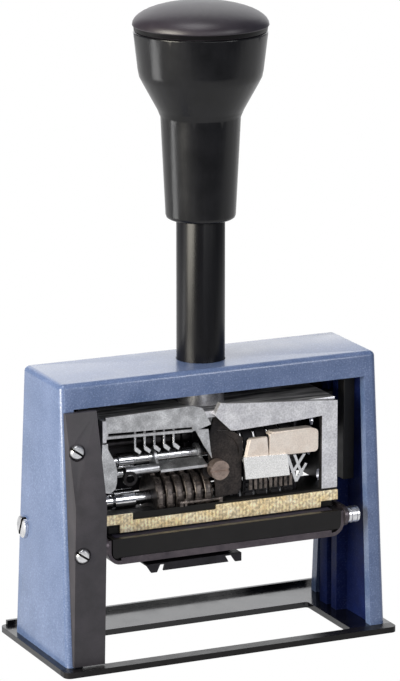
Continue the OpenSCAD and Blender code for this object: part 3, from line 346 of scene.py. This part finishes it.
# Plain upright ticks in a strip: one every pitch, as wide as width, their depth in colour
def addTicks(tree, place, shade, colour, settings):
    axes = addNode(tree, "ShaderNodeSeparateXYZ", links={"Vector": place.outputs["Object"]})
    along = addNode(tree, "ShaderNodeMath", {"operation": "PINGPONG"},
                    inputs={1: settings["pitch"] * mm / 2}, links={0: axes.outputs["X"]})
    low, high = [settings["width"] * mm * share for share in settings["edge"]]
    line = addNode(tree, "ShaderNodeMapRange",
                   inputs={"From Min": low, "From Max": high, "To Min": settings["depth"],
                           "To Max": 1.0},
                   links={"Value": along.outputs["Value"]})
    worn = addNode(tree, "ShaderNodeMath", {"operation": "MULTIPLY"},
                   links={0: line.outputs["Result"], 1: shade.outputs["Result"]})
    engraved = addNode(tree, "ShaderNodeVectorMath", {"operation": "SCALE"},
                       links={"Vector": colour, "Scale": worn.outputs["Value"]})
    return engraved.outputs["Vector"]


def buildFinish(name, finish, settings):
    material = bpy.data.materials.new(name)
    material.use_nodes = True
    tree = material.node_tree
    shader = tree.nodes["Principled BSDF"]
    place = addNode(tree, "ShaderNodeTexCoord")
    drawn = addNode(tree, "ShaderNodeMapping",
                    inputs={"Scale": finish.get("stretch", (1.0, 1.0, 1.0))},
                    links={"Vector": place.outputs["Object"]})
    cloud, grain = [addNode(tree, "ShaderNodeTexNoise", {"noise_dimensions": "3D"},
                            inputs={"Scale": 1 / (finish[layer] * mm), **settings[layer]},
                            links={"Vector": drawn.outputs["Vector"]})
                    for layer in ("cloud", "grain")]
    low, high = settings["colourPart"]
    spread = addNode(tree, "ShaderNodeMapRange", inputs={"From Min": low, "From Max": high},
                     links={"Value": cloud.outputs["Fac"]})
    first, second = [linear(text) for text in finish["hexes"]]
    colour = addNode(tree, "ShaderNodeMix", {"data_type": "RGBA"},
                     inputs={"A": first, "B": second}, links={"Factor": spread.outputs["Result"]})
    mottle = finish.get("mottle", settings["mottle"])
    shade = addNode(tree, "ShaderNodeMapRange",
                    inputs={"From Min": low, "From Max": high, "To Min": 1 - mottle,
                            "To Max": 1 + mottle},
                    links={"Value": grain.outputs["Fac"]})
    mottled = addNode(tree, "ShaderNodeVectorMath", {"operation": "SCALE"},
                      links={"Vector": colour.outputs["Result"], "Scale": shade.outputs["Result"]})
    top = mottled.outputs["Vector"]
    if "ticks" in finish:
        top = addTicks(tree, place, shade, top, finish["ticks"])
    # Pale flecks mixed into the colour: painted glints
    if "speck" in finish:
        low, high = settings["speckPart"]
        specks = addNode(tree, "ShaderNodeMapRange",
                         inputs={"From Min": low, "From Max": high, "To Max": finish["speck"]},
                         links={"Value": grain.outputs["Fac"]})
        flecked = addNode(tree, "ShaderNodeMix", {"data_type": "RGBA"},
                          inputs={"B": linear(settings["speckHex"])},
                          links={"Factor": specks.outputs["Result"], "A": top})
        top = flecked.outputs["Result"]
    tree.links.new(top, shader.inputs["Base Color"])
    low, high = settings["roughPart"]
    smoothest, roughest = finish["rough"]
    rough = addNode(tree, "ShaderNodeMapRange",
                    inputs={"From Min": low, "From Max": high, "To Min": smoothest,
                            "To Max": roughest},
                    links={"Value": cloud.outputs["Fac"]})
    tree.links.new(rough.outputs["Result"], shader.inputs["Roughness"])
    bump = addNode(tree, "ShaderNodeBump",
                   inputs={"Strength": settings["bumpStrength"], "Distance": finish["bump"] * mm},
                   links={"Height": grain.outputs["Fac"]})
    tree.links.new(bump.outputs["Normal"], shader.inputs["Normal"])
    shader.inputs["Metallic"].default_value = finish["metallic"]
    shader.inputs["Specular IOR Level"].default_value = finish.get("gloss", settings["gloss"])
    shader.inputs["Coat Weight"].default_value = finish.get("coat", 0.0)
    shader.inputs["Coat Roughness"].default_value = settings["coatRough"]
    return material


materials = {name: buildFinish(name, finish, noiseSettings) for name, finish in finishes.items()}
print("stage 3: finishes")


# Which finish and edge rounding (mm) each solid gets
dressing = {
    "texturedEnamel": {"housing": 0.35},
    "blackStovingEnamel": {"base_plate": 0.3},
    "rubbedEnamel": {"guide_tube": 0.2},
    "polishedPhenolic": {"knob_grip": 0.0},
    "paintedSheenPhenolic": {"knob_cap": 0.0},
    "satinAbs": {"side_guard": 0.35},
    "mouldedPhenolic": {"pad_tray": 0.3},
    "blackAcetal": {"guide_rails": 0.2, "guide_shoes": 0.2},
    "soleSheet": {"sole_plate": 0.2, "type_plate": 0.2},
    "blackenedSheet": {"back_plate": 0.15, "rear_cover": 0.2, "pad_clip": 0.15,
                       "date_cheeks": 0.12},
    "scaledSheet": {"hub_bracket": 0.2},
    "platedZinc": {"carriage_frame": 0.3},
    "groundSteel": {"plunger_rod": 0.15, "number_shaft": 0.15, "cross_rods": 0.15,
                    "date_axle": 0.15, "roller_pins": 0.1, "detent_fingers": 0.08,
                    "date_springs": 0.06},
    "platedScrewSteel": {"base_screws": 0.1, "tube_screws": 0.1, "guard_screws": 0.12,
                         "pivot_screws": 0.15, "rod_nut": 0.15, "date_wheel_1": 0.08,
                         "date_wheel_2": 0.08, "date_wheel_3": 0.08, "date_wheel_4": 0.08},
    "coldRolledSheet": {"bridge_plate": 0.2, "date_former": 0.1, "feed_pawl": 0.1,
                        "wheel_cover": 0.12, "side_lever": 0.15},
    "inkedSteel": {"wheel_guard": 0.08},
    "polishedSheet": {"date_shroud": 0.1},
    "chromePlate": {"shaft_collars": 0.2},
    "tarnishedSteel": {"selector_knob": 0.2},
    "rolledBrass": {"brass_strip": 0.12},
    "typeRubber": {"date_band_1": 0.12, "date_band_2": 0.12, "date_band_3": 0.12,
                   "date_band_4": 0.12},
    "beigeStyrene": {"date_cover_large": 0.3, "date_cover_small": 0.3},
    "burnishedSheet": {"pad_frame": 0.2},
    "inkedFelt": {"ink_pad": 0.4},
}


# How a solid's mesh is cleaned (mm and degrees), how its broken edges are cut, and how strongly
# the large faces of a solid without them set its shine
solidSettings = {"gap": 0.0005, "flat": 0.5, "smooth": 32, "segments": 2, "edgeAngle": 35,
                 "weight": 100}


def camelName(text):
    first, *rest = text.split("_")
    return first + "".join(word.capitalize() for word in rest)


def mergedCopy(nodeName, settings):
    bm = bmesh.new()
    bm.from_mesh(nodes[nodeName].data)
    bmesh.ops.remove_doubles(bm, verts=bm.verts, dist=settings["gap"] * mm)
    bmesh.ops.dissolve_limit(bm, angle_limit=math.radians(settings["flat"]), verts=bm.verts,
                             edges=bm.edges)
    return bm


# Makes the piece that takes a node's place. Edges sharper than smooth (degrees) stay sharp.
def finishPiece(bm, nodeName, finishNames, smooth):
    mesh = bpy.data.meshes.new(camelName(nodeName))
    for face in bm.faces:
        face.smooth = True
    bm.to_mesh(mesh)
    bm.free()
    mesh.set_sharp_from_angle(angle=math.radians(smooth))
    for finishName in finishNames:
        mesh.materials.append(materials[finishName])
    piece = bpy.data.objects.new(camelName(nodeName), mesh)
    bpy.context.scene.collection.objects.link(piece)
    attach(piece, nodes[nodeName]["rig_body"])
    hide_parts(nodeName)
    return piece


# Gives each face the number of its finish. The rule gets the face's middle (mm) and its normal.
def markFaces(bm, rule):
    for face in bm.faces:
        face.material_index = int(rule(face.calc_center_median() / mm, face.normal))


# The housing's inner faces, which take the painted shade: how far they reach to the sides, front,
# rear and up, and how much the front and rear lean out for each mm below top (mm). The ribs'
# fronts, lit from in front, are not among them.
insideSettings = {"halfWidth": 48.5, "front": -11.6, "rear": 9.9, "high": 82.6, "top": 85.4,
                  "lean": 0.072, "ribHigh": 33.0, "facing": 0.7}


def markInside(bm, settings):
    def isInside(middle, normal):
        lean = (settings["top"] - middle.z) * settings["lean"]
        between = settings["front"] - lean < middle.y < settings["rear"] + lean
        within = abs(middle.x) < settings["halfWidth"] and middle.z < settings["high"]
        ribFront = normal.y < -settings["facing"] and middle.z < settings["ribHigh"]
        return between and within and not ribFront

    markFaces(bm, isInside)


# The cap's upright rim, which isn't buffed and takes the painted shade: its upper limit (mm) and
# how upright it stands
rimSettings = {"high": 185.15, "upright": 0.3}


def markRim(bm, settings):
    markFaces(bm, lambda middle, normal: middle.z < settings["high"]
              and abs(normal.z) < settings["upright"])


# The carriage: its top faces above low take the painted reflection and shade. Its undersides take
# painted shade, and so do the faces that look inwards and lie nearer the middle than inner (mm).
castingSettings = {"low": 71.0, "inner": 37.5, "facing": 0.7}


def markCasting(bm, settings):
    def castingFinish(middle, normal):
        inward = normal.x * middle.x < 0 and abs(normal.x) > settings["facing"]
        if middle.z > settings["low"] and normal.z > settings["facing"]:
            return 1
        if normal.z < -settings["facing"] or inward and abs(middle.x) < settings["inner"]:
            return 2
        return 0

    markFaces(bm, castingFinish)


# The plate's front rail reaches back to this place (mm), where its faces are cut in two
railSettings = {"back": -21.5}


def markRail(bm, settings):
    cut = (0, settings["back"] * mm, 0)
    geometry = list(bm.verts) + list(bm.edges) + list(bm.faces)
    bmesh.ops.bisect_plane(bm, geom=geometry, plane_co=cut, plane_no=(0, 1, 0))
    markFaces(bm, lambda middle, normal: middle.y < settings["back"])


# The upper cross rod lies in shade above this height (mm), and takes the painted shade there
rodSettings = {"high": 57.0}


def markUpperRod(bm, settings):
    markFaces(bm, lambda middle, normal: middle.z > settings["high"])


# The ring at the left end of the wheel cover, which takes the painted shade: its middle across and
# up, and its reach (mm)
ringSettings = {"middle": (-28.4, 54.6), "reach": 2.4}


def markRing(bm, settings):
    x, z = settings["middle"]
    markFaces(bm, lambda middle, normal:
              math.hypot(middle.x - x, middle.z - z) < settings["reach"])


# The detent fingers lie in shade behind this place and take the painted shade there; their springs'
# hooks lie in front (mm)
fingerSettings = {"front": -9.5}


def markFingers(bm, settings):
    markFaces(bm, lambda middle, normal: middle.y > settings["front"])


# The shroud's teeth are inked below this height (mm)
toothSettings = {"high": 49.6}


def markTeeth(bm, settings):
    markFaces(bm, lambda middle, normal: middle.z < settings["high"])


# Painted highlight: the faces of a bent sheet that look up take a paler finish
litTopSettings = {"upright": 0.6}


def markTopEdge(bm, settings):
    markFaces(bm, lambda middle, normal: normal.z > settings["upright"])


# The slots in the screws that show, drawn with painted shade: the two axes across the screw, the
# direction across the slot in those axes, half the slot's width, the head's reach and the screws'
# places (mm)
slotSettings = {
    "guard_screws": {"axes": (0, 2), "across": (0.574, 0.819), "half": 0.33, "reach": 3.4,
                     "places": [(-48.1, 66.5), (-48.1, 36.3)]},
    "pivot_screws": {"axes": (1, 2), "across": (0.906, 0.423), "half": 0.53, "reach": 3.4,
                     "places": [(11.3, 36.3)]},
}


def markSlots(bm, settings):
    first, second = settings["axes"]
    across = Vector(settings["across"])

    def isSlot(middle, normal):
        offsets = [Vector((middle[first], middle[second])) - Vector(p) for p in settings["places"]]
        return any(offset.length < settings["reach"] and abs(offset @ across) < settings["half"]
                   for offset in offsets)

    markFaces(bm, isSlot)


# Solids with more than one finish: the further finishes, and what marks the faces that get them
secondFinishes = {
    "housing": (["insideShadeEnamel"], markInside, insideSettings),
    "knob_cap": (["seamShadePhenolic"], markRim, rimSettings),
    "carriage_frame": (["glareAndShadeZinc", "shadedZinc"], markCasting, castingSettings),
    "base_plate": (["handledEnamel"], markRail, railSettings),
    "cross_rods": (["shadedSteel"], markUpperRod, rodSettings),
    "wheel_cover": (["shadedSteel"], markRing, ringSettings),
    "detent_fingers": (["shadedSteel"], markFingers, fingerSettings),
    "date_shroud": (["inkedSteel"], markTeeth, toothSettings),
    "bridge_plate": (["platedZinc"], markTopEdge, litTopSettings),
    "hub_bracket": (["coldRolledSheet"], markTopEdge, litTopSettings),
    "guard_screws": (["slotShade"], markSlots, slotSettings["guard_screws"]),
    "pivot_screws": (["slotShade"], markSlots, slotSettings["pivot_screws"]),
}


def dressNode(nodeName, finishName, rounding, settings):
    bm = mergedCopy(nodeName, settings)
    finishNames = [finishName]
    if nodeName in secondFinishes:
        further, mark, markSettings = secondFinishes[nodeName]
        mark(bm, markSettings)
        finishNames += further
    piece = finishPiece(bm, nodeName, finishNames, settings["smooth"])
    if rounding > 0:
        edge = piece.modifiers.new("brokenEdge", "BEVEL")
        edge.width = rounding * mm
        edge.segments = settings["segments"]
        edge.limit_method = "ANGLE"
        edge.angle_limit = math.radians(settings["edgeAngle"])
        edge.harden_normals = True
        edge.use_clamp_overlap = True
    else:
        even = piece.modifiers.new("evenShine", "WEIGHTED_NORMAL")
        even.mode = "FACE_AREA"
        even.weight = settings["weight"]
        even.keep_sharp = True


for finishName, group in dressing.items():
    for nodeName, rounding in group.items():
        dressNode(nodeName, finishName, rounding, solidSettings)
print("stage 4: solids dressed")


# Return spring inside the knob, which shortens as the knob goes down: here a round wire helix as
# long as its part
springSettings = {"wire": 1.2, "radius": 5.74, "turns": 9, "stepsPerTurn": 36, "sides": 12,
                  "smooth": 60}


def makeSpring(settings):
    low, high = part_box("return_spring")
    centre = (low + high) / 2
    wireRadius = settings["wire"] * mm / 2
    steps = settings["turns"] * settings["stepsPerTurn"]
    rise = (high.z - low.z - 2 * wireRadius) / steps
    start = Vector((settings["radius"] * mm, centre.y, low.z + wireRadius))
    place = Matrix.Translation(start) @ Matrix.Rotation(math.pi / 2, 4, "X")
    bm = bmesh.new()
    ring = bmesh.ops.create_circle(bm, segments=settings["sides"], radius=wireRadius,
                                   cap_ends=False, matrix=place)
    edges = list({e for v in ring["verts"] for e in v.link_edges})
    ends = bmesh.ops.spin(bm, geom=ring["verts"] + edges, cent=(0, centre.y, 0), axis=(0, 0, 1),
                          dvec=(0, 0, rise), angle=2 * math.pi * settings["turns"], steps=steps,
                          use_merge=False)
    lastRing = [e for e in ends["geom_last"] if isinstance(e, bmesh.types.BMEdge)]
    for loop in (edges, lastRing):
        bmesh.ops.contextual_create(bm, geom=loop)
    bmesh.ops.recalc_face_normals(bm, faces=bm.faces)
    spring = finishPiece(bm, "return_spring", ["groundSteel"], settings["smooth"])
    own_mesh(spring)


makeSpring(springSettings)
print("stage 5: spring")


# Turns a closed outline of places along the shaft and radii round a shaft that lies across
def turnedRing(bm, profile, centre, steps):
    ring = [bm.verts.new((x, centre.y, centre.z + r)) for x, r in profile]
    edges = [bm.edges.new((a, b)) for a, b in zip(ring, ring[1:] + ring[:1])]
    bmesh.ops.spin(bm, geom=ring + edges, cent=centre, axis=(1, 0, 0), dvec=(0, 0, 0),
                   angle=2 * math.pi, steps=steps, use_merge=True)


# Guide rollers: turned with two grooves. Steps are distance from the inner end and depth (mm)
rollerSettings = {"bore": 1.28, "segments": 72, "corner": 0.18, "smooth": 30,
                  "steps": [(0.95, 0.0), (1.0, 0.5), (1.3, 0.5), (1.35, 0.0), (2.75, 0.0),
                            (2.8, 0.4), (2.95, 0.4), (3.0, 0.0)]}


def makeRoller(nodeName, settings):
    low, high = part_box(nodeName)
    centre = (low + high) / 2
    radius = (high.z - low.z) / 2
    side = 1 if centre.x > 0 else -1
    inner, outer = (low.x, high.x) if side > 0 else (high.x, low.x)
    corner = settings["corner"] * mm
    bore = settings["bore"] * mm
    profile = [(inner, bore), (inner, radius - corner), (inner + side * corner, radius)]
    profile += [(inner + side * x * mm, radius - depth * mm) for x, depth in settings["steps"]]
    profile += [(outer - side * corner, radius), (outer, radius - corner), (outer, bore)]
    bm = bmesh.new()
    turnedRing(bm, profile, centre, settings["segments"])
    bmesh.ops.recalc_face_normals(bm, faces=bm.faces)
    finishPiece(bm, nodeName, ["platedScrewSteel"], settings["smooth"])


for nodeName in ("roller_left", "roller_right"):
    makeRoller(nodeName, rollerSettings)
print("stage 6: rollers")


# Number wheels: a drum with ten blocks of type, a groove and a ratchet ring (mm and degrees).
# The figures are plain ones, mirrored as type is. High and low are distances from the shaft.
wheelSettings = {
    "count": 6, "bore": 2.06, "segments": 80, "corner": 0.12, "smooth": 30,
    "drum": {"wide": 1.85, "radius": 6.8},
    "core": {"wide": 0.25, "radius": 5.6},
    "ratchet": {"wide": 0.7, "radius": 6.5, "depth": 0.8, "teeth": 10, "slant": 14.0},
    "block": {"left": 0.15, "wide": 1.5, "long": 2.7, "low": 6.5, "high": 7.22, "corner": 0.1},
    "figure": {"size": 2.5, "narrow": 0.8, "high": 7.36, "curveSteps": 3, "gap": 0.0001},
}


# A ring with slanted teeth, beginning at start along the shaft
def addRatchet(bm, start, centre, bore, settings):
    points = 2 * settings["teeth"]
    place = Matrix.Translation((start, centre.y, centre.z)) @ Matrix.Rotation(math.pi / 2, 4, "Y")
    loops = []
    for radius in (settings["radius"] * mm, bore):
        loops.append(bmesh.ops.create_circle(bm, segments=points, radius=radius, cap_ends=False,
                                             matrix=place)["verts"])
    around = Matrix.Translation(centre)
    slant = Matrix.Rotation(math.radians(settings["slant"]), 4, "X")
    shrink = 1 - settings["depth"] / settings["radius"]
    valley = around @ slant @ Matrix.Diagonal((1, shrink, shrink, 1)) @ around.inverted()
    bmesh.ops.transform(bm, matrix=valley, verts=loops[0][::2])  # every second one is a valley
    edges = list({e for loop in loops for v in loop for e in v.link_edges})
    faces = bmesh.ops.bridge_loops(bm, edges=edges)["faces"]
    raised = bmesh.ops.extrude_face_region(bm, geom=faces, use_keep_orig=True)["geom"]
    moved = [v for v in raised if isinstance(v, bmesh.types.BMVert)]
    bmesh.ops.translate(bm, vec=(settings["wide"] * mm, 0, 0), verts=moved)


# A block of type with broken edges
def addTypeBlock(bm, place, settings):
    size = Matrix.Diagonal((settings["wide"] * mm, settings["long"] * mm,
                            (settings["high"] - settings["low"]) * mm, 1))
    cube = bmesh.ops.create_cube(bm, size=1.0, matrix=place @ size)
    edges = list({e for v in cube["verts"] for e in v.link_edges})
    bmesh.ops.bevel(bm, geom=edges, offset=settings["corner"] * mm, affect="EDGES", segments=2,
                    profile=0.5, material=-1)


# A plain figure as a flat solid, thick enough to reach from the block's face to its own height
def figureMesh(text, settings):
    figure = settings["figure"]
    curve = bpy.data.curves.new("figure" + text, "FONT")
    curve.body = text
    curve.size = figure["size"] * mm
    curve.extrude = (figure["high"] - settings["block"]["high"]) * mm / 2
    curve.align_x = "CENTER"
    curve.align_y = "CENTER"
    curve.resolution_u = figure["curveSteps"]
    drawn = bpy.data.objects.new("figure" + text, curve)
    bpy.context.scene.collection.objects.link(drawn)
    bpy.context.view_layer.update()
    evaluated = drawn.evaluated_get(bpy.context.evaluated_depsgraph_get())
    solid = bpy.data.meshes.new_from_object(evaluated)
    bpy.data.objects.remove(drawn)
    return solid


def addFigure(bm, solid, place, settings):
    known = set(bm.verts)
    bm.from_mesh(solid)
    fresh = [v for v in bm.verts if v not in known]
    narrow = Matrix.Diagonal((settings["narrow"], 1, 1, 1))
    bmesh.ops.transform(bm, matrix=place @ narrow, verts=fresh)
    bmesh.ops.remove_doubles(bm, verts=fresh, dist=settings["gap"] * mm)


figures = [figureMesh(str(digit), wheelSettings) for digit in range(10)]


def makeNumberWheel(nodeName, settings):
    low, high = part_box(nodeName)
    centre = (low + high) / 2
    drum, core, block, figure = [settings[part] for part in ("drum", "core", "block", "figure")]
    bore, corner = settings["bore"] * mm, settings["corner"] * mm
    left, radius, coreRadius = low.x, drum["radius"] * mm, core["radius"] * mm
    drumEnd = left + drum["wide"] * mm
    coreEnd = drumEnd + core["wide"] * mm
    bm = bmesh.new()
    turnedRing(bm, [(left, bore), (left, radius - corner), (left + corner, radius),
                    (drumEnd - corner, radius), (drumEnd, radius - corner),
                    (drumEnd, coreRadius), (coreEnd, coreRadius), (coreEnd, bore)],
               centre, settings["segments"])
    addRatchet(bm, coreEnd, centre, bore, settings["ratchet"])
    along = left + (block["left"] + block["wide"] / 2) * mm - centre.x
    blockOut = (block["low"] + block["high"]) / 2 * mm
    figureOut = (block["high"] + figure["high"]) / 2 * mm
    for count, solid in enumerate(figures):
        turn = Matrix.Rotation(2 * math.pi * count / len(figures), 4, "X")
        around = Matrix.Translation(centre) @ turn
        addTypeBlock(bm, around @ Matrix.Translation((along, 0, -blockOut)), block)
        addFigure(bm, solid, around @ Matrix.Translation((along, 0, -figureOut)), figure)
    bmesh.ops.recalc_face_normals(bm, faces=bm.faces)
    finishPiece(bm, nodeName, ["inkedSteel"], settings["smooth"])


for number in range(1, wheelSettings["count"] + 1):
    makeNumberWheel(f"number_wheel_{number}", wheelSettings)
print("stage 7: number wheels")
